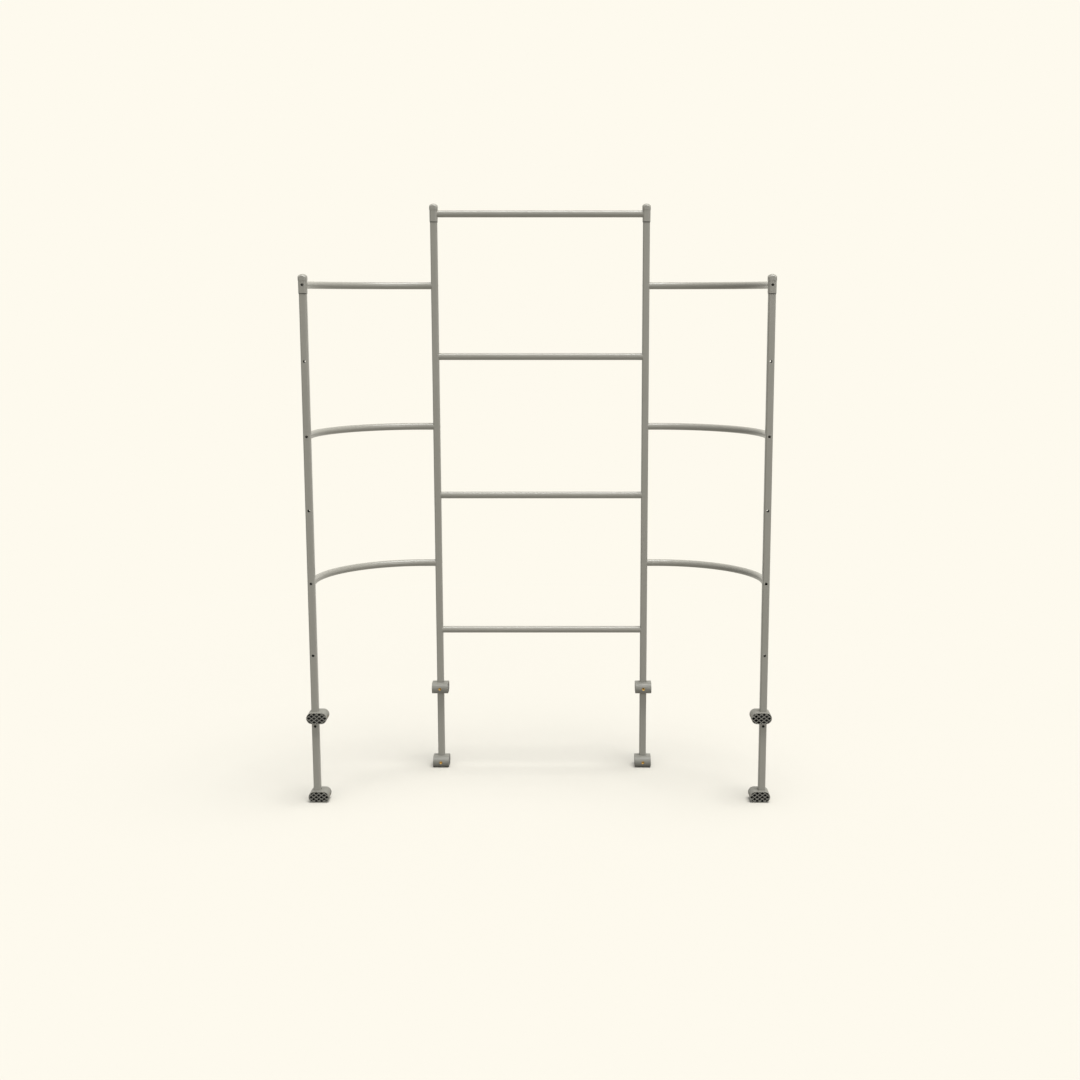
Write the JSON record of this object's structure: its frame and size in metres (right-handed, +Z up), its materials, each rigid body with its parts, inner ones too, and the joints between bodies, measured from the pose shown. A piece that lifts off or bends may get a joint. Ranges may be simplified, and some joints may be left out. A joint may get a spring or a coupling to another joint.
{
  "type": "espalier frame",
  "caption": "Bolted tube trellis with straight centre bars, quarter-round side bars and moulded blocks that grip a corrugated raised bed.",
  "frame": {"origin": "on the ground under the middle of the frame's box, level with the undersides of the lower blocks", "axes": "+Z up along the posts, +X to the right seen from the front, +Y towards the back, where the tall posts are"},
  "size_m": [1.298, 0.368, 1.668],
  "materials": {
    "frame_paint": "satin",
    "plug_zinc": "cast",
    "screw_plated": "plated",
    "block_plastic": "matt",
    "insert_brass": "knurled"
  },
  "bodies": {
    "frame": {"post_inner_left": "frame_paint", "post_inner_right": "frame_paint", "post_outer_left": "frame_paint", "post_outer_right": "frame_paint", "cap_inner_left": "frame_paint", "cap_inner_right": "frame_paint", "cap_outer_left": "frame_paint", "cap_outer_right": "frame_paint", "centre_bar_1": "frame_paint", "centre_bar_2": "frame_paint", "centre_bar_3": "frame_paint", "centre_bar_4": "frame_paint", "side_bar_left_1": "frame_paint", "side_bar_left_2": "frame_paint", "side_bar_left_3": "frame_paint", "side_bar_right_1": "frame_paint", "side_bar_right_2": "frame_paint", "side_bar_right_3": "frame_paint", "centre_bar_plugs": "plug_zinc", "side_bar_plugs_left": "plug_zinc", "side_bar_plugs_right": "plug_zinc", "screws_inner_left": "screw_plated", "screws_inner_right": "screw_plated", "screws_outer_left": "screw_plated", "screws_outer_right": "screw_plated", "lower_block_inner_left": "block_plastic", "lower_block_inner_right": "block_plastic", "lower_block_outer_left": "block_plastic", "lower_block_outer_right": "block_plastic", "lower_inserts": "insert_brass"},
    "upper_block_inner_left": {"upper_block_inner_left": "block_plastic", "upper_insert_inner_left": "insert_brass"},
    "upper_block_inner_right": {"upper_block_inner_right": "block_plastic", "upper_insert_inner_right": "insert_brass"},
    "upper_block_outer_left": {"upper_block_outer_left": "block_plastic", "upper_insert_outer_left": "insert_brass"},
    "upper_block_outer_right": {"upper_block_outer_right": "block_plastic", "upper_insert_outer_right": "insert_brass"}
  },
  "joints": [
    {"name": "block_slide_inner_left", "type": "slide", "parent": "frame", "child": "upper_block_inner_left", "axis": [0, 0, 1], "range_m": [-0.19, 0.14]},
    {"name": "block_slide_inner_right", "type": "slide", "parent": "frame", "child": "upper_block_inner_right", "axis": [0, 0, 1], "range_m": [-0.19, 0.14]},
    {"name": "block_slide_outer_left", "type": "slide", "parent": "frame", "child": "upper_block_outer_left", "axis": [0, 0, 1], "range_m": [-0.19, 0.14]},
    {"name": "block_slide_outer_right", "type": "slide", "parent": "frame", "child": "upper_block_outer_right", "axis": [0, 0, 1], "range_m": [-0.19, 0.14]}
  ]
}
